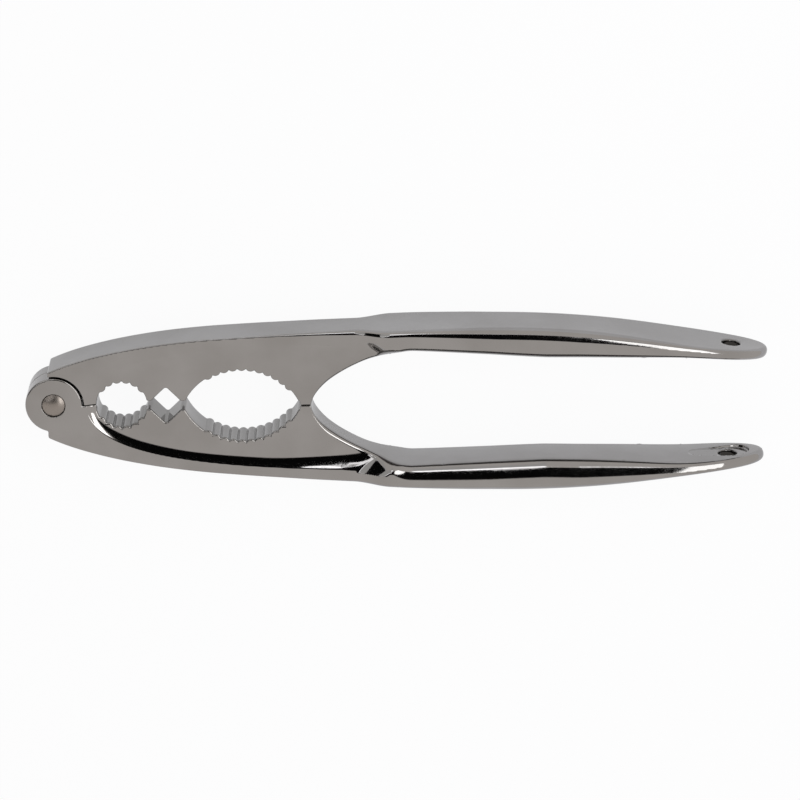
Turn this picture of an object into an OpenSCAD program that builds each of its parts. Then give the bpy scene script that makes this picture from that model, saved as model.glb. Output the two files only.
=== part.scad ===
// Lever nutcracker: two identical die-cast levers, one turned over, on one rivet.
// Each lever is drawn once in its own frame: the rivet's centre at the origin, the
// length along +X, the rivet along Y, the split plane between the levers at Z = 0
// and the metal above it. The assembly is then laid on its side, with the rivet upright.

/* [Jaws] */
// Width of the jaws along the rivet
jaw_w = 11.1; // [9.5:0.1:14]
// Depth of the sunk face on each side of a jaw
sunk_d = 0.75; // [0.3:0.05:1.2]
// Gap between the tips of the inner teeth when closed
tooth_gap = 2.2; // [0.6:0.1:3]
// Width of each inner tooth at its tip
tooth_w = 1.4; // [1:0.1:3]
// Metal between the hinge and the first nut seat
hinge_wall = 3.4; // [2.5:0.1:6]
// Metal behind the walnut seat, up to the outer edge at the stop
back_t = 9.6; // [7:0.1:13]
// Height of the jaw's outer shoulder above the split plane, at the hinge
shoulder_h = 8.6; // [8:0.1:10.5]
// Length of the land on which the levers meet
land_l = 2.9; // [1.5:0.1:6]
// Gap left between the two lands
land_gap = 0.1; // [0.04:0.02:0.4]

/* [Nut seats] */
// Radius of the round hazelnut seat
small_r = 6.3; // [5:0.1:8]
// Depth of the V notch above the split plane
notch_h = 4.5; // [3.5:0.1:6.5]
// Radius at the bottom of the V notch
notch_round = 0.7; // [0.3:0.1:1.2]
// Length of the walnut seat
walnut_l = 28.2; // [22:0.2:36]
// Height of the walnut seat above the split plane
walnut_h = 9.7; // [8:0.1:12]
// Pitch of the gripping ribs round the seats
rib_pitch = 2.15; // [1.8:0.05:3]
// Height of a gripping rib
rib_h = 0.65; // [0.3:0.05:0.9]

/* [Hinge] */
// Radius of each hinge ear
ear_r = 7.05; // [6:0.05:7.5]
// Clearance between an ear and the other lever round it
ear_gap = 0.5; // [0.2:0.05:1]
// Clearance between the two ears, along the rivet
lap_gap = 0.1; // [0.06:0.02:0.4]
// Radius of the rivet's shank
shank_r = 2; // [1.5:0.1:2.4]
// Radial clearance of the shank in the turning lever
shank_clear = 0.05; // [0.02:0.01:0.1]
// Radius of each rivet head
head_r = 2.83; // [2.6:0.01:3.6]
// Height of each rivet head
head_h = 0.95; // [0.6:0.05:1.6]
// Depth of the recess that a rivet head sits in
recess_d = 0.5; // [0.2:0.05:1]
// Clearance round a rivet head in its recess
recess_clear = 0.12; // [0.05:0.01:0.3]

/* [Handles] */
// Width of a handle along the rivet
handle_w = 16.5; // [12:0.1:22]
// Length over which the jaw widens to the handle
flare_l = 9.5; // [7:0.5:16]
// Length of the curved mouth of the finger gap
throat_l = 25.1; // [20:0.5:32]
// Length of a handle from the throat to its tip
grip_l = 88.4; // [60:0.2:120]
// Clear height between the closed handles, behind the throat
finger_gap = 29.7; // [24:0.1:38]
// Clear height between the closed handles, at their middle
waist_gap = 26.9; // [20:0.1:36]
// Clear height between the closed handles, at their tips
tip_gap = 24.2; // [16:0.1:34]
// Thickness of a handle at its crest
grip_t = 6.55; // [5:0.05:9]
// Thickness of a handle at its tip
tip_t = 2.9; // [2.4:0.05:5]
// Length over which the tip rounds off in plan
tip_round_l = 32.6; // [20:0.2:44]

/* [Hanging hole] */
// Radius of the hanging hole in each handle
hang_r = 2.2; // [1.6:0.05:3]
// Distance from the tip to the hanging hole's centre
hang_in = 9.2; // [7:0.1:14]
// Width of the sunk teardrop round the hole, on the inner face
drop_w = 7.4; // [6.6:0.1:10]
// Length of the sunk teardrop
drop_l = 15.2; // [11:0.1:20]
// Depth of the sunk teardrop
drop_d = 0.5; // [0.2:0.05:0.9]

/* [Hidden] */
eps = 0.01;              // how far the rivet's shank runs into its heads
edge_r = 0.3;            // broken edge of the jaws
reach = jaw_w + handle_w; // longer than any cut is deep

// Where things lie along the lever, from the rivet's centre
cut_r = ear_r + ear_gap;
small_x = cut_r + hinge_wall + small_r - edge_r;
small_half = sqrt(pow(small_r, 2) - pow(tooth_gap / 2, 2));
notch_half = notch_h - tooth_gap / 2;
notch_x = small_x + small_half + tooth_w + notch_half;
walnut_x = notch_x + notch_half + tooth_w + walnut_l / 2;
land_x0 = walnut_x + walnut_l / 2 + edge_r;
land_x1 = land_x0 + land_l;
root_x = land_x1 + throat_l;
tip_x = root_x + grip_l;
hang_x = tip_x - hang_in;
flare_x0 = land_x1 + 0.4 * throat_l;
shoulder_x = -1.5;

// Heights above the split plane
base_z = land_gap / 2;
root_in = finger_gap / 2;
waist_in = waist_gap / 2;
tip_in = tip_gap / 2;
jaw_h = walnut_h + back_t;
crest_h = root_in + grip_t;
tip_out = tip_in + tip_t;

function lerp(a, b, t) = a + (b - a) * t;
function smooth(t) = let (u = min(1, max(0, t))) u * u * (3 - 2 * u);
function bez(p, t) = pow(1 - t, 3) * p[0] + 3 * pow(1 - t, 2) * t * p[1]
    + 3 * (1 - t) * t * t * p[2] + pow(t, 3) * p[3];

// The height of a Bezier curve that runs along X, at a given x
function bez_z(p, x, lo = 0, hi = 1, n = 22) = let (mid = (lo + hi) / 2, q = bez(p, mid))
    n == 0 ? q[1] : q[0] < x ? bez_z(p, x, mid, hi, n - 1) : bez_z(p, x, lo, mid, n - 1);

// Outer edge: the jaw's back, its run into the handle, and the handle's back
mid_x = walnut_x - 0.2 * walnut_l;
crest_x = root_x + 0.18 * grip_l;
back_slope = 0.0735;
mid_h = jaw_h - back_slope * (land_x0 - mid_x);
back_run = mid_x - shoulder_x;
crest_run = crest_x - mid_x;
tail_run = tip_x - crest_x;
jaw_back = [[shoulder_x, shoulder_h], [shoulder_x + 0.22 * back_run, lerp(shoulder_h, mid_h, 0.5)],
    [mid_x - 0.4 * back_run, mid_h - 0.4 * back_run * back_slope], [mid_x, mid_h]];
flank = [[mid_x, mid_h], [mid_x + 0.33 * crest_run, mid_h + 0.33 * crest_run * back_slope],
    [crest_x - 0.3 * crest_run, crest_h + 0.1], [crest_x, crest_h]];
tail = [[crest_x, crest_h], [crest_x + 0.48 * tail_run, crest_h + 0.2],
    [tip_x - 0.28 * tail_run, tip_out + 1], [tip_x, tip_out]];
function outer_z(x) = x < mid_x ? bez_z(jaw_back, x) : x < crest_x ? bez_z(flank, x) : bez_z(tail, x);

// Inner edge: the land, the throat, and the handle's inner face with its slight waist
waist_x = root_x + 0.53 * grip_l;
grip_run = waist_x - root_x;
end_run = tip_x - waist_x;
throat = [[land_x1, base_z], [land_x1 + 0.5, 0.4 * root_in], [land_x1 + 0.56 * throat_l, root_in],
    [root_x, root_in]];
grip = [[root_x, root_in], [root_x + 0.17 * grip_run, root_in], [waist_x - 0.38 * grip_run, waist_in],
    [waist_x, waist_in]];
tip = [[waist_x, waist_in], [waist_x + 0.34 * end_run, waist_in],
    [tip_x - 0.3 * end_run, waist_in + 0.8], [tip_x, tip_in]];
function inner_z(x) = x <= land_x1 ? base_z : x < root_x ? bez_z(throat, x)
    : x < waist_x ? bez_z(grip, x) : bez_z(tip, x);

// Half the width: straight jaws, an S-curve into the handle, and a rounded tip in plan
tip_power = 3.5;
round_x = tip_x - tip_round_l;
function half_w(x) = let (u = max(0, (x - round_x) / tip_round_l))
    lerp(jaw_w / 2, handle_w / 2, smooth((x - flare_x0) / flare_l)) * sqrt(max(0, 1 - pow(u, tip_power)));

// One side of a section, from the outer face to the inner one, as [half width, height].
// The handle's sides are a quarter ellipse above, which comes in from out_x0 on and grows
// with the handle's thickness, and a larger one below, which comes in with the flare.
out_share = 0.28;
out_width = 0.2;
in_share = 0.61;
in_width = 0.42;
out_steps = 5;
in_steps = 7;
out_x0 = root_x - 9;
out_run = 17;
function side(x) = let (
        zo = outer_z(x), zi = inner_z(x), w = half_w(x), t = zo - zi, bulk = t * t / grip_t,
        ko = smooth((x - out_x0) / out_run), ki = smooth((x - flare_x0) / (1.4 * flare_l)),
        oz = lerp(edge_r, out_share * bulk, ko), iz = lerp(edge_r, in_share * t, ki),
        oy = min(w * 0.5, lerp(edge_r, out_width * bulk, ko)),
        iy = min(w * 0.7, lerp(edge_r, in_width * t, ki)))
    concat(
        [for (i = [0:out_steps]) let (a = 90 - 90 * i / out_steps)
            [w - oy * (1 - cos(a)), zo - oz * (1 - sin(a))]],
        [for (i = [0:in_steps]) let (a = 90 * i / in_steps)
            [w - iy * (1 - cos(a)), zi + iz * (1 - sin(a))]]);
function ring(x) = let (s = side(x), n = len(s))
    concat([for (p = s) [x, p[0], p[1]]], [for (i = [n - 1:-1:0]) [x, -s[i][0], s[i][1]]]);

// The stations that the lever is lofted through
tip_steps = 12;
tip_turn = 86; // the last station leaves a small flat on the tip
stations = concat(
    [for (i = [0:13]) lerp(shoulder_x, land_x1 - 0.05, i / 13)],
    [for (t = [0.04, 0.1, 0.17, 0.25, 0.33]) bez(throat, t)[0]],
    [for (i = [0:12]) lerp(flare_x0, root_x, i / 12)],
    [for (i = [1:9]) lerp(root_x, round_x, i / 9)],
    [for (i = [1:tip_steps]) round_x + tip_round_l * sin(tip_turn * i / tip_steps)]);

// A closed skin over rings with the same number of points each
module loft(rings) {
    n = len(rings[0]);
    last = len(rings) - 1;
    polyhedron(
        points = [for (r = rings) each r],
        faces = concat(
            [[for (i = [0:n - 1]) n - 1 - i]],
            [for (k = [0:last - 1], i = [0:n - 1]) let (j = (i + 1) % n)
                each [[k * n + i, k * n + j, (k + 1) * n + j],
                    [k * n + i, (k + 1) * n + j, (k + 1) * n + i]]],
            [[for (i = [0:n - 1]) last * n + i]]),
        convexity = 8);
}

// A cylinder along the rivet, from y0 to y1
module along_y(x, z, r, y0, y1, fn = 96) {
    translate([x, y1, z]) rotate([90, 0, 0]) cylinder(h = y1 - y0, r = r, $fn = fn);
}

// The ribs round a seat: round ridges side by side, with sharp valleys between them
rib_r = 0.6 * rib_pitch;
rib_back = rib_r - rib_h;
module ribs(x, z, r, first, last) {
    step = 2 * asin(rib_pitch / 2 / r);
    for (i = [first:last]) {
        a = 90 - i * step;
        along_y(x + (r + rib_back) * cos(a), z + (r + rib_back) * sin(a), rib_r, -reach, reach, 32);
    }
}

module small_seat() {
    difference() {
        along_y(small_x, 0, small_r, -reach, reach);
        ribs(small_x, 0, small_r, -2.5, 2.5);
    }
}

// The V notch, with a small radius at its bottom
module notch() {
    deep = notch_h + notch_round * (sqrt(2) - 1);
    rotate([90, 0, 0]) linear_extrude(2 * reach, center = true)
        polygon(concat(
            [[notch_x - deep - 1, -1]],
            [for (i = [0:6]) let (a = 135 - 15 * i)
                [notch_x + notch_round * cos(a), notch_h - notch_round + notch_round * sin(a)]],
            [[notch_x + deep + 1, -1]]));
}

// The walnut seat: an arc through the two teeth and the seat's top
walnut_sag = walnut_h - tooth_gap / 2;
walnut_r = (pow(walnut_l / 2, 2) + pow(walnut_sag, 2)) / (2 * walnut_sag);
walnut_z = walnut_h - walnut_r;
module walnut_seat() {
    difference() {
        along_y(walnut_x, walnut_z, walnut_r, -reach, reach, 128);
        ribs(walnut_x, walnut_z, walnut_r, -4, 6);
    }
}

// The sunk face on one side of the jaw: a pocket whose floor is bounded by one curve
// and whose mouth, on the jaw's side, is bounded by a wider one, with a ramp between them
mouth_h = walnut_h + 5.4;
ramp_h = 2.75;
floor_h = mouth_h - ramp_h;
mouth_slope = 0.102;
floor_slope = 0.065;
mouth_end = flare_x0 + 0.89 * flare_l;
floor_end = mouth_end - 5.6;
mouth_run = mouth_end - mid_x;
floor_run = floor_end - mid_x;
mouth = [
    [[cut_r + 0.65, 0], [cut_r + 1, 0.58 * mouth_h], [0.5 * mid_x, mouth_h - 0.5 * mid_x * mouth_slope],
        [mid_x, mouth_h]],
    [[mid_x, mouth_h], [mid_x + 0.31 * mouth_run, mouth_h + 0.31 * mouth_run * mouth_slope],
        [mid_x + 0.9 * mouth_run, mouth_h + 3.3], [mouth_end, mouth_h - 2.1]]];
sunk = [
    [[cut_r + 3.1, 0], [cut_r + 3.45, 0.45 * floor_h], [0.57 * mid_x, floor_h - 0.43 * mid_x * floor_slope],
        [mid_x, floor_h]],
    [[mid_x, floor_h], [mid_x + 0.32 * floor_run, floor_h + 0.32 * floor_run * floor_slope],
        [mid_x + 0.86 * floor_run, floor_h + 1.7], [floor_end, floor_h - 1.6]]];
function border(c, y) = concat([[c[1][3][0], y, -2]],
    [for (s = [1, 0], i = [12:-1:s]) let (q = bez(c[s], i / 12)) [q[0], y, q[1]]],
    [[c[0][0][0], y, -2]]);
spread = 0.6; // how far the pocket widens as it runs up the flare, as a share of its ramp
module pocket() {
    low = border(sunk, jaw_w / 2 - sunk_d);
    top = border(mouth, jaw_w / 2);
    steep = [for (i = [0:len(low) - 1]) let (p = lerp(low[i], top[i], 1 + spread))
        [p[0], handle_w / 2 + sunk_d, p[2]]];
    loft([low, top, steep]);
}

// The teardrop in plan: a wide end round the hole and a narrow one towards the hinge
wide_r = drop_w / 2;
narrow_r = drop_w / 4;
wide_x = hang_x + 1.1 * (wide_r - hang_r);
narrow_x = wide_x + wide_r - drop_l + narrow_r;
module teardrop() {
    hull() {
        translate([wide_x, 0]) circle(r = wide_r, $fn = 48);
        translate([narrow_x, 0]) circle(r = narrow_r, $fn = 32);
    }
}

module lever(bore_r) {
    difference() {
        union() {
            difference() {
                loft([for (x = stations) ring(x)]);
                along_y(0, 0, cut_r, -reach, lap_gap / 2);
            }
            along_y(0, 0, ear_r, lap_gap / 2, jaw_w / 2);
        }
        along_y(0, 0, bore_r, -reach, reach, 64);
        along_y(0, 0, head_r + recess_clear, jaw_w / 2 - recess_d, reach, 64);
        small_seat();
        notch();
        walnut_seat();
        // The teeth stop short of the split plane, so that the levers come together on the
        // lands and on the walls between the hinge and the first seat
        translate([small_x, -reach, -1]) cube([land_x0 - small_x, 2 * reach, 1 + tooth_gap / 2]);
        pocket();
        mirror([0, 1, 0]) pocket();
        translate([hang_x, 0, 0]) cylinder(h = reach, r = hang_r, $fn = 64);
        translate([0, 0, inner_z(hang_x) + drop_d - reach]) linear_extrude(reach) teardrop();
    }
}

// The closed nutcracker lies on the sides of its handles, with the origin under its
// middle, the rivet along Z and the upper lever towards +Y
tip_end = stations[len(stations) - 1];
centre_x = (tip_end - ear_r) / 2;
module place() {
    translate([-centre_x, 0, handle_w / 2]) rotate([-90, 0, 0]) children();
}

module upper_lever() {
    color([0.56, 0.55, 0.54]) place() lever(shank_r + shank_clear);
}

module lower_lever() {
    color([0.54, 0.53, 0.52]) place() rotate([180, 0, 0]) lever(shank_r);
}

// A domed head with its flat side at Z = 0
module rivet_head() {
    rim = 0.25 * head_h;
    dome = head_h - rim;
    dome_r = (pow(head_r, 2) + pow(dome, 2)) / (2 * dome);
    intersection() {
        cylinder(h = head_h, r = head_r, $fn = 64);
        translate([0, 0, head_h - dome_r]) sphere(r = dome_r, $fn = 96);
    }
}

// The heads seat in the recesses; the one in the turning lever has the lap clearance
module hinge_rivet() {
    seat = jaw_w / 2 - recess_d;
    color([0.5, 0.46, 0.42]) place() {
        along_y(0, 0, shank_r, -seat - eps, seat + lap_gap / 2 + eps, 64);
        translate([0, -seat, 0]) rotate([90, 0, 0]) rivet_head();
        translate([0, seat + lap_gap / 2, 0]) rotate([-90, 0, 0]) rivet_head();
    }
}

lower_lever();
upper_lever();
hinge_rivet();
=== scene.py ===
"""A chromed lever nutcracker lying on its side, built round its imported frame.

The frame's solids are faceted, so each lever is made again here as one smooth casting, with
the same outlines: its surface is where a distance function is nought. A lever is described in
millimetres in a frame of its own: the rivet's centre at the origin, the length along X, the
rivet along Y, the plane between the closed levers at Z = 0 and the metal above it.
"""

import math

import bpy
import numpy as np
from mathutils import Matrix, Vector


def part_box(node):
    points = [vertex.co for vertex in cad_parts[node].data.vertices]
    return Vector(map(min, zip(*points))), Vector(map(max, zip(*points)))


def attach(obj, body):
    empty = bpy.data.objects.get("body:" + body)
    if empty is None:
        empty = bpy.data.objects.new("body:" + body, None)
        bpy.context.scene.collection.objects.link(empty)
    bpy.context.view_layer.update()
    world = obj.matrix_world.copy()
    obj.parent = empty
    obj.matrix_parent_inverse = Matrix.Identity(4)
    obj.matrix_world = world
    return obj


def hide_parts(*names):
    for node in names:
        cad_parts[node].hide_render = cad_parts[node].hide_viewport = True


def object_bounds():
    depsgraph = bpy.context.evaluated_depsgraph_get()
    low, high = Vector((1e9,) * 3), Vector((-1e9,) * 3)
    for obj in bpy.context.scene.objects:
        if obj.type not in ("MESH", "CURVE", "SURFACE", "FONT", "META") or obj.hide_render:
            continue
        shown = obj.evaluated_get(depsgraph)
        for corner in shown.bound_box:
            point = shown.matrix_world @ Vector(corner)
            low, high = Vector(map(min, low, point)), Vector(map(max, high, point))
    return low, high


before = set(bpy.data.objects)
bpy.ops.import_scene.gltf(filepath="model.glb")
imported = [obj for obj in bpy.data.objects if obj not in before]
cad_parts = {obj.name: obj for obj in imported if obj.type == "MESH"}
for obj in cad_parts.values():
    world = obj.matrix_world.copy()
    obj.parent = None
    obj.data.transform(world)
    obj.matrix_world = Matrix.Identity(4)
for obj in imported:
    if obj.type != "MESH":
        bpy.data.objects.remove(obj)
cad_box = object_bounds()

MM = 0.001
rivet_low, rivet_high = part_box("hinge_rivet")
pivot = (rivet_low + rivet_high) / 2
pivot.z = (cad_box[0].z + cad_box[1].z) / 2

# ---------------------------------------------------------------- sizes of a lever, in mm

# Across the lever
jaw_half = 5.55            # half the jaws' width along the rivet
handle_half = (cad_box[1].z - cad_box[0].z) / 2 / MM
lap_y = 0.05               # where one lever's ear ends and the other's clearance starts

# The hinge: the ear, the cut that clears the other lever's ear, and the rivet
ear_r = (pivot.x - cad_box[0].x) / MM
ear_blend = 0.3            # how softly the ear joins the lever
cut_r = ear_r + 0.5
shoulder_x = -1.5          # where the jaw's back ends, above the ear
shoulder_z = 8.6
shank_r = 2
bore_r = shank_r + 0.04
head_r = 2.83
head_h = 0.95
rim_h = 0.24               # the straight part below a head's dome
rim_edge = 0.12
break_w = 0.05             # the broken edges where a head rests and meets the shank
break_h = 0.02
recess_r = head_r + 0.12
recess_d = 0.5

# The row of openings
hinge_wall = 3.4           # metal between the hinge's cut and the small seat
lead = 0.3                 # what the solids' broken edges add beside a seat
tooth_z = 1.1              # the teeth stop this far above the split plane
tooth_w = 1.4
small_r = 6.3
small_x = cut_r + hinge_wall + small_r - lead
small_half = math.sqrt(small_r**2 - tooth_z**2)
notch_h = 4.5
notch_r = 0.7
notch_half = notch_h - tooth_z
notch_x = small_x + small_half + tooth_w + notch_half
walnut_l = 28.2
walnut_h = 9.7
walnut_x = notch_x + notch_half + tooth_w + walnut_l / 2
walnut_r = ((walnut_l / 2) ** 2 + (walnut_h - tooth_z) ** 2) / 2 / (walnut_h - tooth_z)
rib_pitch = 2.15
rib_h = 0.65
rib_r = 0.6 * rib_pitch

# Places along the lever's inner face: the land where the levers meet, the root where the
# throat turns into the handle, and the waist where the handles come nearest each other
land_x0 = walnut_x + walnut_l / 2 + lead
land_x1 = land_x0 + 2.9
land_z = 0.05
root_x = land_x1 + 25.1
root_z = 14.82
waist_x = root_x + 33.45
waist_z = 13.12
tip_x = root_x + 88.4
tip_z = 12.05

# Places along its back, and where it ends
mid_x = walnut_x - 0.2 * walnut_l
mid_z = 17.83
back_slope = 0.0735        # how the jaw's back rises at mid_x
crest_x = root_x + 23.15
crest_z = 21.4
tip_out_z = 14.98
tip_end = (cad_box[1].x - pivot.x) / MM
round_x = tip_x - 32.6     # where the handle starts to round off in plan
round_power = 3.5

# The flare from the jaw's width to the handle's
flare_x = land_x1 + 10.65
flare_l = 9
flare_z = 17.4             # below this height the flare starts later,
flare_lean = 1.4           # by this much for each millimetre

# The sunk face on each side of a jaw, with a ramp from its rim to its floor
sunk_d = 0.78
deep_d = 1.45              # its depth at its end by the throat
deep_x = 52                # where it starts to deepen, and over what length
deep_l = 20
rim_x = 8.2
rim_z = 15.1
rim_end_x = 72
rim_end_z = 16.5
floor_x = 10.64
floor_z = 12.35
ramp_least = 0.6           # the narrowest that the ramp may get
end_x = 70                 # where the rim turns softer, and over what length
end_l = 10
rim_soft = 0.06            # how softly the ramp runs out at its rim, as a share of the ramp
end_soft = 0.3

# Edges: how far each rounding reaches
edge_r = 0.28              # the jaws' broken edges
sharp_edge = 0.12          # the ribs and the rivet's recess
tooth_edge = 0.2           # the teeth and the hinge's cut
seat_edge = 0.36
ear_edge = 0.45
shoulder_edge = 0.4
land_edge = 0.3
lap_edge = 0.1
throat_edge = 1.2          # the inner edge's in the throat, past throat_edge_x
throat_edge_x = land_x1 - 1
throat_edge_l = 6

# The handle's edges reach these shares of its thickness, across it and along its side
thickest = 7.6             # what counts as thickness where the jaw is higher
back_across = 0.33
back_down = 0.38
inner_across = 0.45
inner_down = 0.63
back_x = 45                # where the back's edges start to grow, and over what length
back_l = 72
inner_x = flare_x + 4.7    # where the inner edges start to grow, over flare_l
crown_d = 0.45             # how far the handle's inner face is crowned
crown_l = 30

# The hanging hole and the sunk teardrop round it
hang_x = tip_x - 9.2
hang_r = 2.2
hang_edge = 0.6
drop_big = 3.7
drop_small = 1.85
drop_l = 9.65              # between the centres of its two rounds
drop_x = hang_x + 1.65     # the centre of the big one
drop_d = 0.65              # its depth at the hole
drop_slope = 0.06          # and how much deeper it gets for each millimetre towards the tip
drop_edge = 0.3
drop_foot = 0.35


def run(a, b, share):
    """The X that lies at a share of the way from a to b."""
    return a + (b - a) * share


def rise(x):
    """The height at x of the jaw's back, near its middle."""
    return mid_z + (x - mid_x) * back_slope


# Outlines, as chains of cubic curves in X and Z that run towards the tip
OUTER = np.array([
    [[shoulder_x, shoulder_z], [run(shoulder_x, mid_x, 0.22), 13.22],
     [run(shoulder_x, mid_x, 0.6), rise(run(shoulder_x, mid_x, 0.6))], [mid_x, mid_z]],
    [[mid_x, mid_z], [run(mid_x, crest_x, 0.33), rise(run(mid_x, crest_x, 0.33))],
     [run(mid_x, crest_x, 0.7), crest_z], [crest_x, crest_z]],
    [[crest_x, crest_z], [run(crest_x, tip_x, 0.475), crest_z],
     [run(crest_x, tip_x, 0.627), 16.58], [tip_x, tip_out_z]],
])
INNER = np.array([
    [[land_x1, land_z], [land_x1 + 0.45, 7],
     [run(land_x1, root_x, 0.727), root_z], [root_x, root_z]],
    [[root_x, root_z], [run(root_x, waist_x, 0.05), root_z],
     [run(root_x, waist_x, 0.94), waist_z], [waist_x, waist_z]],
    [[waist_x, waist_z], [run(waist_x, tip_x, 0.69), waist_z],
     [run(waist_x, tip_x, 0.47), 14.68], [tip_x, tip_z]],
])

# The sunk face's rim, where its ramp starts, and the edge of its floor, where the ramp ends
RIM = np.array([
    [[rim_x, 0], [rim_x + 0.35, 8.72], [0.5 * mid_x, 13], [mid_x, rim_z]],
    [[mid_x, rim_z], [mid_x + 10.3, 16.15],
     [rim_end_x - 10, rim_end_z - 0.1], [rim_end_x, rim_end_z]],
    [[rim_end_x, rim_end_z], [rim_end_x + 4, rim_end_z + 0.1],
     [rim_end_x + 8, rim_end_z - 0.1], [rim_end_x + 9.6, rim_end_z - 2.9]],
])
FLOOR = np.array([
    [[floor_x, 0], [floor_x + 0.35, 5.61], [0.57 * mid_x, 11.21], [mid_x, floor_z]],
    [[mid_x, floor_z], [mid_x + 11.4, 13.09], [rim_end_x, 14.06], [rim_end_x + 5, 10.72]],
])


# ---------------------------------------------------------------- distance functions

def smooth(t):
    """0 up to t = 0, 1 from t = 1, and an S curve between."""
    t = np.clip(t, 0, 1)
    return t * t * (3 - 2 * t)


def mix(a, b, t):
    return a + (b - a) * t


def cubic(points, t):
    """A cubic curve's place, first and second derivative at t; points has shape (..., 4, 2)."""
    p0, p1, p2, p3 = (points[..., i, :] for i in range(4))
    t = t[..., None]
    s = 1 - t
    place = s**3 * p0 + 3 * s * s * t * p1 + 3 * s * t * t * p2 + t**3 * p3
    first = 3 * (s * s * (p1 - p0) + 2 * s * t * (p2 - p1) + t * t * (p3 - p2))
    second = 6 * (s * (p2 - 2 * p1 + p0) + t * (p3 - 2 * p2 + p1))
    return place, first, second


def beside(chain, x, z):
    """Signed distance from a chain of curves, positive on its left: the nearest of some
    places along it, made exact by Newton's steps."""
    samples = 16
    at_once = 20000
    x, z = np.broadcast_arrays(x, z)
    points = np.stack([x.ravel(), z.ravel()], -1)
    t = (np.arange(samples) + 0.5) / samples
    coarse = cubic(chain[:, None], t[None].repeat(len(chain), 0))[0].reshape(-1, 2)
    nearest = np.empty(len(points), int)
    for k in range(0, len(points), at_once):
        near = points[k:k + at_once]
        gap = ((near[:, None] - coarse[None]) ** 2).sum(-1)
        nearest[k:k + at_once] = gap.argmin(1)
    curve = chain[nearest // samples]
    t = t[nearest % samples]
    for _ in range(4):
        place, first, second = cubic(curve, t)
        off = place - points
        speed = (first * first).sum(-1)
        bend = speed + (off * second).sum(-1)
        t = np.clip(t - (off * first).sum(-1) / np.maximum(bend, 0.25 * speed), 0, 1)
    place, first, _ = cubic(curve, t)
    off = points - place
    cross = first[:, 0] * off[:, 1] - first[:, 1] * off[:, 0]
    return (cross / np.sqrt((first * first).sum(-1))).reshape(x.shape)


def height(chain, x):
    """The height of a chain of curves at x."""
    t = np.linspace(0, 1, 60)
    line = cubic(chain[:, None], t[None].repeat(len(chain), 0))[0].reshape(-1, 2)
    return np.interp(x, line[:, 0], line[:, 1])


def corner(a, b, ra, rb):
    """Two faces met in a rounded edge: a and b are distances outside each face, ra and rb
    how far the rounding reaches along them. Negative in the metal."""
    at = np.maximum(1 + a / ra, 0)
    bt = np.maximum(1 + b / rb, 0)
    size = np.maximum(np.hypot(at, bt), 1e-3)
    slope = np.hypot(at / ra, bt / rb) / size
    rounded = (size - 1) / np.maximum(slope, 1e-3)
    return np.where(np.maximum(at, bt) > 0, rounded, np.maximum(a, b))


def soft_min(a, b, k):
    """The lesser of a and b, blended where they differ by less than k."""
    return np.minimum(a, b) - np.maximum(k - np.abs(a - b), 0) ** 2 / (4 * k)


def soft_max(a, b, k):
    return -soft_min(-a, -b, k)


def seat(x, z, cx, cz, r, first, last):
    """Distance to a round seat's outline with ribs from first to last, counted from its top
    towards the tip. Negative in the opening."""
    dx, dz = x - cx, z - cz
    step = 2 * math.asin(rib_pitch / 2 / r)
    turn = (math.pi / 2 - np.arctan2(dz, dx)) / step - first
    angle = math.pi / 2 - (np.clip(np.round(turn), 0, last - first) + first) * step
    out = r + rib_r - rib_h
    rib = np.hypot(dx - out * np.cos(angle), dz - out * np.sin(angle)) - rib_r
    return corner(np.hypot(dx, dz) - r, -rib, sharp_edge, sharp_edge)


def notch(x, z):
    """Distance to the V notch, with the small radius at its bottom."""
    deep = notch_h + notch_r * (math.sqrt(2) - 1)
    right = (x - notch_x + z - deep) / math.sqrt(2)
    left = (notch_x - x + z - deep) / math.sqrt(2)
    return corner(right, left, notch_r, notch_r)


def openings(x, z):
    """Distance to the row of seats, with the teeth between them: negative in the opening."""
    small = seat(x, z, small_x, 0, small_r, -2.5, 2.5)
    walnut = seat(x, z, walnut_x, walnut_h - walnut_r, walnut_r, -4, 6)
    teeth = np.maximum(np.maximum(x - land_x0, small_x - x), z - tooth_z)
    metal = -small
    for void in (notch(x, z), walnut, teeth):
        metal = corner(metal, -void, tooth_edge, tooth_edge)
    return -metal


def side_height(x, z):
    """How far from the middle plane the jaw's side lies: its sunk floor, the ramp and the
    flare."""
    start = flare_x + flare_lean * np.maximum(flare_z - z, 0)
    full = mix(jaw_half, handle_half, smooth((x - start) / flare_l))
    rim = -beside(RIM, x, z)
    floor = beside(FLOOR, x, z)
    # From 0 at the ramp's rim to 1 at its foot
    share = rim / np.maximum(rim + floor, ramp_least)
    soft = mix(rim_soft, end_soft, smooth((x - end_x) / end_l))
    share = np.minimum(soft_max(share, 0, soft), 1)
    depth = mix(sunk_d, deep_d, smooth((x - deep_x) / deep_l))
    return full - depth * (1 - (1 - share) ** 2)


def handle_side(x, y):
    """Distance outside the handle's side, which rounds off towards the tip."""
    reach = tip_end - round_x
    u = np.maximum(x - round_x, 0) / reach
    v = np.maximum(np.abs(y), 1e-3) / handle_half
    size = np.sqrt(u**round_power + v * v)
    slope = np.hypot(round_power / 2 * u ** (round_power - 1) / reach, v / handle_half) / size
    return (size - 1) / slope


def teardrop(x, y):
    """Distance to the teardrop round the hanging hole, in plan."""
    along = drop_x - x
    across = np.abs(y)
    lean = (drop_big - drop_small) / drop_l
    level = math.sqrt(1 - lean * lean)
    turn = -lean * across + level * along
    round_big = np.hypot(across, along) - drop_big
    round_small = np.hypot(across, along - drop_l) - drop_small
    flank = level * across + lean * along - drop_big
    return np.where(turn < 0, round_big, np.where(turn > level * drop_l, round_small, flank))


# ---------------------------------------------------------------- the lever's metal

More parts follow.
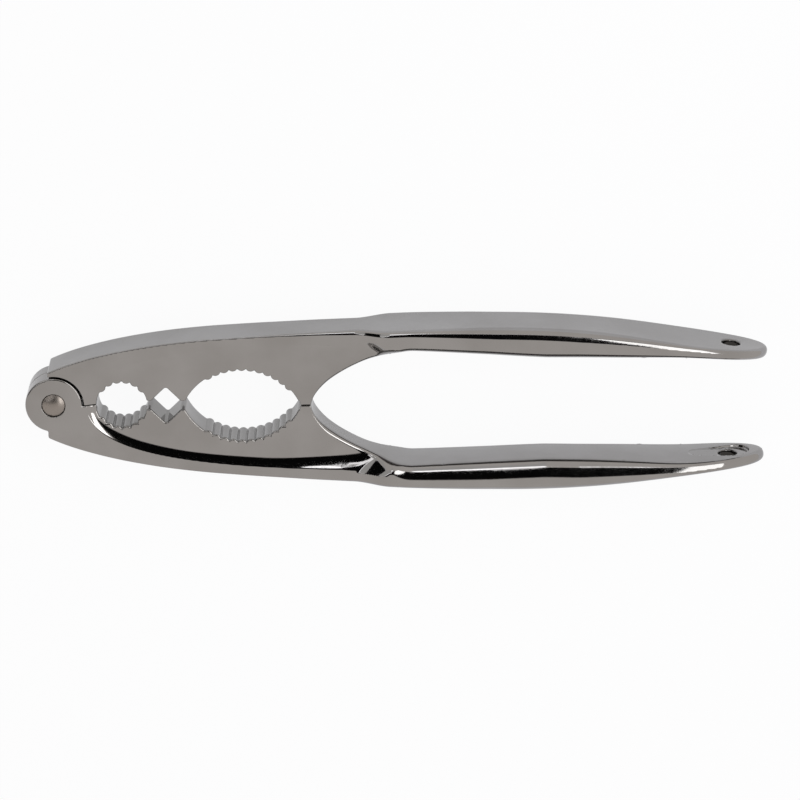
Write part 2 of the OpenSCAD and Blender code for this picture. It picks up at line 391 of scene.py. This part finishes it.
def blank(x, y, z, side):
    """The lever before its openings are cut: the outlines and the side, with their edges."""
    back = beside(OUTER, x, z)
    inner = corner(land_z - z, -beside(INNER, x, z), land_edge, land_edge)
    inner = inner + crown_d * (y / handle_half) ** 2 * smooth((x - land_x1) / crown_l)
    inner = np.where(y > lap_y, soft_min(inner, np.hypot(x, z) - ear_r, ear_blend), inner)

    thick = np.minimum(height(OUTER, x) - height(INNER, x), thickest)
    grown = smooth((x - back_x) / back_l)
    back_edge = corner(back, side, mix(edge_r, back_down * thick, grown),
                       mix(edge_r, back_across * thick, grown))
    throat = mix(edge_r, throat_edge, smooth((x - throat_edge_x) / throat_edge_l))
    grown = smooth((x - inner_x) / flare_l)
    inner_edge = corner(inner, side, mix(throat, inner_down * thick, grown),
                        mix(throat, inner_across * thick, grown))
    return corner(np.maximum(back_edge, inner_edge), shoulder_x - x, shoulder_edge, shoulder_edge)


def with_seats(metal, x, z, side):
    """Cuts the row of openings through the jaw."""
    seats = corner(-openings(x, z), side, seat_edge, seat_edge)
    return np.where(x < land_x0 + 1, np.maximum(metal, seats), metal)


def with_hinge(metal, x, y, z):
    """Clears the other lever's ear, and adds this lever's own with the rivet's seat in it."""
    around = np.hypot(x, z)
    metal = corner(metal, -np.maximum(around - cut_r, y - lap_y), tooth_edge, tooth_edge)
    ear = corner(around - ear_r, y - jaw_half, ear_edge, ear_edge)
    metal = soft_min(metal, corner(ear, lap_y - y, lap_edge, lap_edge), ear_blend)
    recess = np.maximum(around - recess_r, jaw_half - recess_d - y)
    metal = corner(metal, -recess, sharp_edge, sharp_edge)
    return np.maximum(metal, bore_r - around)


def with_hanging_hole(metal, x, y, z):
    """Sinks the teardrop into the handle's inner face, and cuts the hole through it."""
    deep = drop_d + drop_slope * (x - hang_x)
    drop = corner(teardrop(x, y), z - height(INNER, x) - deep, drop_foot, drop_foot)
    metal = corner(metal, -drop, drop_edge, drop_edge)
    hole = np.hypot(x - hang_x, y) - hang_r
    return corner(metal, -hole, hang_edge, hang_edge)


def polish(x, y, z):
    """How much uneven hand polishing takes off, in mm: some everywhere, and more in places."""
    scale = 0.008
    wave = (np.sin(0.21 * x + 0.33 * y + 1.7 * np.sin(0.045 * x + 0.21 * z))
            + np.sin(0.13 * x - 0.27 * z + 0.4 * y + 2.1)
            + 0.5 * np.sin(0.47 * x + 0.39 * z - 0.31 * y))
    return scale * (2.5 + wave)


def lever(x, y, z):
    """Distance outside a lever's metal, negative inside it."""
    side = np.where(x < root_x, np.abs(y) - side_height(x, z), handle_side(x, y))
    metal = blank(x, y, z, side)
    metal = with_seats(metal, x, z, side)
    metal = with_hinge(metal, x, y, z)
    metal = with_hanging_hole(metal, x, y, z)
    return metal + polish(x, y, z)


# ---------------------------------------------------------------- from distances to a mesh

def surface_net(values, grid):
    """A closed mesh of quads round the negative values on a grid: one point in each cell
    that the surface crosses, joined across the grid's edges."""
    cells = np.array(values.shape) - 1
    total = np.zeros((cells.prod(), 3))
    count = np.zeros(cells.prod())
    quads = []
    for axis in range(3):
        u, v = (axis + 1) % 3, (axis + 2) % 3
        low = tuple(slice(None, -1) if k == axis else slice(None) for k in range(3))
        high = tuple(slice(1, None) if k == axis else slice(None) for k in range(3))
        crossed = np.nonzero((values[low] < 0) != (values[high] < 0))
        start, end = values[low][crossed], values[high][crossed]
        at = np.array(crossed)
        point = np.stack([grid[k][at[k]] for k in range(3)], 1)
        width = grid[axis][at[axis] + 1] - grid[axis][at[axis]]
        point[:, axis] += start / (start - end) * width
        ring = []
        for du, dv in ((0, 0), (-1, 0), (-1, -1), (0, -1)):
            cell = at.copy()
            cell[u] += du
            cell[v] += dv
            ring.append(np.ravel_multi_index(cell, cells))
        for cell in ring:
            count += np.bincount(cell, minlength=len(count))
            for k in range(3):
                total[:, k] += np.bincount(cell, point[:, k], minlength=len(count))
        quad = np.stack(ring, 1)
        quads.append(np.where((start > 0)[:, None], quad[:, ::-1], quad))
    used = np.flatnonzero(count)
    number = np.zeros(len(count), int)
    number[used] = np.arange(len(used))
    return total[used] / count[used][:, None], number[np.concatenate(quads)]


def gradient(value, points, step=0.02):
    """The slope of a distance function, from the four corners of a small tetrahedron."""
    total = np.zeros_like(points)
    for way in ((1, -1, -1), (-1, -1, 1), (-1, 1, -1), (1, 1, 1)):
        moved = points + step * np.array(way)
        total += np.array(way) * value(*moved.T)[:, None]
    return total / (4 * step)


def casting(value, grid):
    """Points, quads and normals of a solid given by its distance function."""
    furthest = 0.12
    x, y, z = np.meshgrid(*grid, indexing="ij", sparse=True)
    points, quads = surface_net(np.clip(value(x, y, z), -1, 1), grid)
    for _ in range(2):
        slope = gradient(value, points)
        steep = np.maximum((slope * slope).sum(1), 0.1)
        move = slope * (value(*points.T) / steep)[:, None]
        points = points - np.clip(move, -furthest, furthest)
    normals = gradient(value, points)
    return points, quads, normals / np.linalg.norm(normals, axis=1)[:, None]


def spaced(*stops):
    """Grid lines: stops are a start, then pairs of a spacing and where it ends."""
    lines = [np.array([stops[0]], float)]
    for step, end in zip(stops[1::2], stops[2::2]):
        start = lines[-1][-1]
        lines.append(np.linspace(start, end, max(2, math.ceil((end - start) / step) + 1))[1:])
    return np.concatenate(lines)


def casting_grid():
    """Grid lines round a lever: closest over the jaw, its broken edges and the tip."""
    fine = 0.28
    margin = 0.3
    along = spaced(-ear_r - margin, fine, 92, 0.5, 96, 0.9, 156, 0.25, tip_end + margin)
    half = spaced(0.12, 0.5, 4.4, 0.15, 5.7, 0.26, handle_half + margin)
    across = np.concatenate([-half[::-1], half])
    return along, across, spaced(-ear_r - margin, fine, crest_z + margin)


# ---------------------------------------------------------------- materials

def add(tree, kind, inputs=(), **settings):
    """Adds a node. inputs maps a socket's name or number to a value or another node's output."""
    made = tree.nodes.new("ShaderNode" + kind)
    for name, value in settings.items():
        setattr(made, name, value)
    for name, value in dict(inputs).items():
        if isinstance(value, bpy.types.NodeSocket):
            tree.links.new(value, made.inputs[name])
        else:
            made.inputs[name].default_value = value
    return made


def maths(tree, operation, *values):
    """A math node's result."""
    return add(tree, "Math", enumerate(values), operation=operation).outputs[0]


def blended(tree, share, under, over):
    """One colour over another, by a share from 0 to 1."""
    return add(tree, "Mix", {0: share, 6: under, 7: over}, data_type="RGBA").outputs[2]


def metal(name, dark, light, roughness, bump, bore=None):
    """Polished metal: its tone and its polish both vary a little over the surface. A bore is a hole
    along Y in the middle plane, by its X and its radius in metres. Its wall is painted near black,
    as painted shade inside the hole."""
    made = bpy.data.materials.new(name)
    made.use_nodes = True
    tree = made.node_tree
    shader = tree.nodes["Principled BSDF"]
    shader.inputs["Metallic"].default_value = 1
    place = add(tree, "TexCoord").outputs["Object"]
    broad = add(tree, "TexNoise", {"Vector": place, "Scale": 70, "Detail": 3})
    grain = add(tree, "TexNoise", {"Vector": place, "Scale": 900, "Detail": 4})
    tone = add(tree, "MapRange", {"Value": broad.outputs[0], 1: 0.35, 2: 0.65})
    tint = blended(tree, tone.outputs[0], (*dark, 1), (*light, 1))
    if bore:
        centre_x, radius = bore
        fade = 0.3 * MM
        flat = add(tree, "VectorMath", {0: place, 1: (1, 0, 1)}, operation="MULTIPLY")
        off = add(tree, "VectorMath", {0: flat.outputs[0], 1: (centre_x, 0, pivot.z)},
                  operation="DISTANCE")
        # Painted shade: the bore's wall is painted near black, fading out over its rounded rim, in
        # place of the shade inside the hole.
        painted_shade = add(tree, "MapRange", {
            "Value": off.outputs["Value"], 1: radius, 2: radius + fade, 3: 1, 4: 0})
        tint = blended(tree, painted_shade.outputs[0], tint, (0.02, 0.019, 0.018, 1))
    tree.links.new(tint, shader.inputs["Base Color"])
    smoothest, roughest = roughness
    finish = add(tree, "MapRange", {
        "Value": grain.outputs[0], 1: 0.3, 2: 0.7, 3: smoothest, 4: roughest})
    tree.links.new(finish.outputs[0], shader.inputs["Roughness"])
    relief = add(tree, "Bump", {
        "Height": grain.outputs[0], "Strength": bump, "Distance": 0.02 * MM})
    tree.links.new(relief.outputs[0], shader.inputs["Normal"])
    return made


# ---------------------------------------------------------------- the pieces

def mesh_object(name, points, faces, material):
    """A smooth-shaded object of one material."""
    mesh = bpy.data.meshes.new(name)
    mesh.from_pydata(points, [], faces)
    mesh.polygons.foreach_set("use_smooth", np.ones(len(faces), bool))
    mesh.materials.append(material)
    made = bpy.data.objects.new(name, mesh)
    bpy.context.scene.collection.objects.link(made)
    return made


def dress(piece, body, node):
    """Makes a piece ride on a body and stand for one of the frame's nodes."""
    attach(piece, body)
    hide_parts(node)


def lever_piece(name, way, solid, material):
    """The casting turned so that the rivet is upright, with its metal on the side of way
    along Y: 1 for the upper lever, and -1 for the lower one, which is turned over."""
    points, quads, normals = solid
    turned = np.array([1, way, -way])
    made = mesh_object(name, points[:, [0, 2, 1]] * turned * MM + np.array(pivot), quads, material)
    made.data.normals_split_custom_set_from_vertices(normals[:, [0, 2, 1]] * turned)
    return made


def head_outline(top, way):
    """Half a rivet head's outline, as radius and height in mm, from its crown to the shank.
    way is 1 for the upper head and -1 for the lower one."""
    steps = 14
    dome_h = head_h - rim_h
    dome_r = (head_r**2 + dome_h**2) / 2 / dome_h
    reach = math.asin((head_r - rim_edge) / dome_r)
    outline = []
    for i in range(steps + 1):
        a = reach * i / steps
        outline.append((dome_r * math.sin(a), top - way * dome_r * (1 - math.cos(a))))
    level = outline[-1][1]
    for a in (math.radians(30), math.radians(60), math.radians(90)):
        outline.append((head_r - rim_edge * (1 - math.sin(a)),
                        level - way * rim_edge * (1 - math.cos(a))))
    seat_z = top - way * head_h
    outline += [(head_r, seat_z + way * break_h), (head_r - break_w, seat_z)]
    outline += [(shank_r + break_w, seat_z), (shank_r, seat_z - way * break_w)]
    return outline


def lathe(name, outline, centre, material, turns=96):
    """A closed solid of revolution about an upright axis through centre. Its outline is
    radius and height in mm, from the axis at its top to the axis at its bottom."""
    ring = [p for p in outline if p[0] > 0]
    points = [(0, 0, outline[0][1])]
    for r, z in ring:
        for i in range(turns):
            a = 2 * math.pi * i / turns
            points.append((r * math.cos(a), r * math.sin(a), z))
    points.append((0, 0, outline[-1][1]))
    last = len(points) - 1
    faces = []
    for i in range(turns):
        j = (i + 1) % turns
        faces.append((0, 1 + i, 1 + j))
        for k in range(len(ring) - 1):
            a = 1 + k * turns
            faces.append((a + i, a + turns + i, a + turns + j, a + j))
        a = 1 + (len(ring) - 1) * turns
        faces.append((a + i, last, a + j))
    placed = [(centre.x + x * MM, centre.y + y * MM, z * MM) for x, y, z in points]
    return mesh_object(name, placed, faces, material)


chrome = metal("chromed_casting", dark=(0.305, 0.297, 0.29), light=(0.34, 0.333, 0.328),
               roughness=(0.05, 0.09), bump=0.25, bore=(pivot.x + hang_x * MM, hang_r * MM))
steel = metal("rivet_steel", dark=(0.27, 0.24, 0.215), light=(0.31, 0.285, 0.265),
              roughness=(0.28, 0.36), bump=0.4)

one_lever = casting(lever, casting_grid())
upper = lever_piece("upper_lever_casting", 1, one_lever, chrome)
dress(upper, "upper_arm", "upper_lever")
lower = lever_piece("lower_lever_casting", -1, one_lever, chrome)
dress(lower, "lower_arm", "lower_lever")

upper_head = head_outline(rivet_high.z / MM, 1)
lower_head = head_outline(rivet_low.z / MM, -1)
rivet = lathe("rivet", upper_head + lower_head[::-1], pivot, steel)
dress(rivet, "lower_arm", "hinge_rivet")


# ---------------------------------------------------------------- camera, floor and light

def add_camera():
    """A long lens straight above, leaning towards the upper lever's back."""
    distance = 1.1
    lean = math.radians(19.94)
    aside = math.radians(0.16)
    roll = math.radians(0.23)
    off_middle = 0.97 * MM
    target = Vector(((cad_box[0].x + cad_box[1].x) / 2 + off_middle, 0, pivot.z))

    camera = bpy.data.objects.new("camera", bpy.data.cameras.new("camera"))
    bpy.context.scene.collection.objects.link(camera)
    bpy.context.scene.camera = camera
    camera.data.sensor_width = 36
    camera.data.lens = 198
    right = Vector((math.cos(aside), 0, -math.sin(aside)))
    back = Vector((math.sin(aside) * math.cos(lean), math.sin(lean),
                   math.cos(aside) * math.cos(lean)))
    up = back.cross(right)
    turned = right * math.cos(roll) + up * math.sin(roll)
    raised = up * math.cos(roll) - right * math.sin(roll)
    place = Matrix((turned, raised, back)).transposed().to_4x4()
    place.translation = target + back * distance
    camera.matrix_world = place


def add_floor():
    """A plain pale floor. To the camera it is white with a faint shadow, and the metal
    mirrors it half lit and half glowing."""
    half = 3
    camera_share = 0.94
    mirror_share = 0.5
    mesh = bpy.data.meshes.new("floor")
    corners = [(-half, -half, 0), (half, -half, 0), (half, half, 0), (-half, half, 0)]
    mesh.from_pydata(corners, [], [(0, 1, 2, 3)])
    floor = bpy.data.objects.new("floor", mesh)
    floor.location.z = cad_box[0].z
    bpy.context.scene.collection.objects.link(floor)

    pale = bpy.data.materials.new("pale_floor")
    pale.use_nodes = True
    tree = pale.node_tree
    tree.nodes.clear()
    path = add(tree, "LightPath").outputs
    seen = maths(tree, "MAXIMUM", path["Is Camera Ray"], path["Is Transmission Ray"])
    even = maths(tree, "MAXIMUM", maths(tree, "MULTIPLY", seen, camera_share),
                 maths(tree, "MULTIPLY", path["Is Glossy Ray"], mirror_share))
    white = add(tree, "Emission", {"Color": (1, 1, 1, 1), "Strength": 1})
    lit = add(tree, "BsdfDiffuse", {"Color": (0.84, 0.86, 0.93, 1)})
    both = add(tree, "MixShader", {0: even, 1: lit.outputs[0], 2: white.outputs[0]})
    add(tree, "OutputMaterial", {"Surface": both.outputs[0]})
    mesh.materials.append(pale)


def add_studio():
    """The studio's light by direction. It is pale all round, with a black card above the
    object, and grey, white and lamp-bright cards beyond the card's slanted border. Azimuth
    is from straight up towards +X and elevation from there towards +Y, in degrees."""
    world = bpy.data.worlds.new("studio")
    bpy.context.scene.world = world
    world.use_nodes = True
    tree = world.node_tree
    tree.nodes.clear()
    towards = add(tree, "TexCoord").outputs["Generated"]
    direction = add(tree, "SeparateXYZ", {0: towards}).outputs
    azimuth = maths(tree, "DEGREES", maths(tree, "ARCTAN2", direction[0], direction[2]))
    elevation = maths(tree, "DEGREES", maths(tree, "ARCSINE", direction[1]))

    def between(value, low, high, edge):
        """1 where the angle lies between low and high, fading over edge degrees each way."""
        rising = add(tree, "MapRange", {"Value": value, 1: low - edge, 2: low + edge},
                     interpolation_type="SMOOTHSTEP")
        falling = add(tree, "MapRange", {"Value": value, 1: high - edge, 2: high + edge, 3: 1, 4: 0},
                      interpolation_type="SMOOTHSTEP")
        return maths(tree, "MULTIPLY", rising.outputs[0], falling.outputs[0])

    def card(light, colour, *masks):
        """Lays a card of one colour over the light so far, where all its masks are 1."""
        share = masks[0]
        for mask in masks[1:]:
            share = maths(tree, "MULTIPLY", share, mask)
        return blended(tree, share, light, (*colour, 1))

    # The border: the highest of three slanted lines, but no higher than 42 degrees
    border = maths(tree, "MULTIPLY_ADD", azimuth, 4, 45)
    for slope, at_zero in ((0.8, 29), (-4, -150)):
        line = maths(tree, "MULTIPLY_ADD", azimuth, slope, at_zero)
        border = maths(tree, "MAXIMUM", border, line)
    border = maths(tree, "MINIMUM", border, 42)
    beyond = maths(tree, "SUBTRACT", elevation, border)
    inside = maths(tree, "LESS_THAN", elevation, border)

    light = (0.84, 0.8, 0.77, 1)
    # A grey card beyond the border, its white rim, the lamp, and the black card below the border
    light = card(light, (0.75, 0.74, 0.73),
                 between(azimuth, -52, 1, 1.5), between(beyond, 0, 40, 1.5))
    light = card(light, (2.4, 2.4, 2.45),
                 between(azimuth, -40, 1, 1), between(beyond, 0, 5, 1))
    light = card(light, (3.4, 3.4, 3.5),
                 between(azimuth, -8, 1, 1.5), between(elevation, 43, 50, 1.5))
    light = card(light, (0.004, 0.004, 0.004),
                 between(azimuth, -75, 21.7, 2.5), between(elevation, -4.5, 70, 2.5), inside)
    shown = blended(tree, add(tree, "LightPath").outputs["Is Camera Ray"], light, (1, 1, 1, 1))
    background = add(tree, "Background", {"Color": shown, "Strength": 1})
    add(tree, "OutputWorld", {"Surface": background.outputs[0]})


def add_window():
    """A soft light above the object's right side, near enough for each lever to mirror it in
    its own place."""
    left = 0.103
    right = 0.24
    depth = 0.4
    middle_y = 0.14
    above = 0.41
    level = 3.2
    light = bpy.data.lights.new("right_window", "AREA")
    light.shape = "RECTANGLE"
    light.size = right - left
    light.size_y = depth
    light.energy = level * math.pi * light.size * light.size_y
    hung = bpy.data.objects.new("right_window", light)
    hung.location = ((left + right) / 2, middle_y, above)
    hung.visible_camera = False
    bpy.context.scene.collection.objects.link(hung)


add_camera()
add_floor()
add_studio()
add_window()
bpy.context.scene.view_settings.view_transform = "Standard"
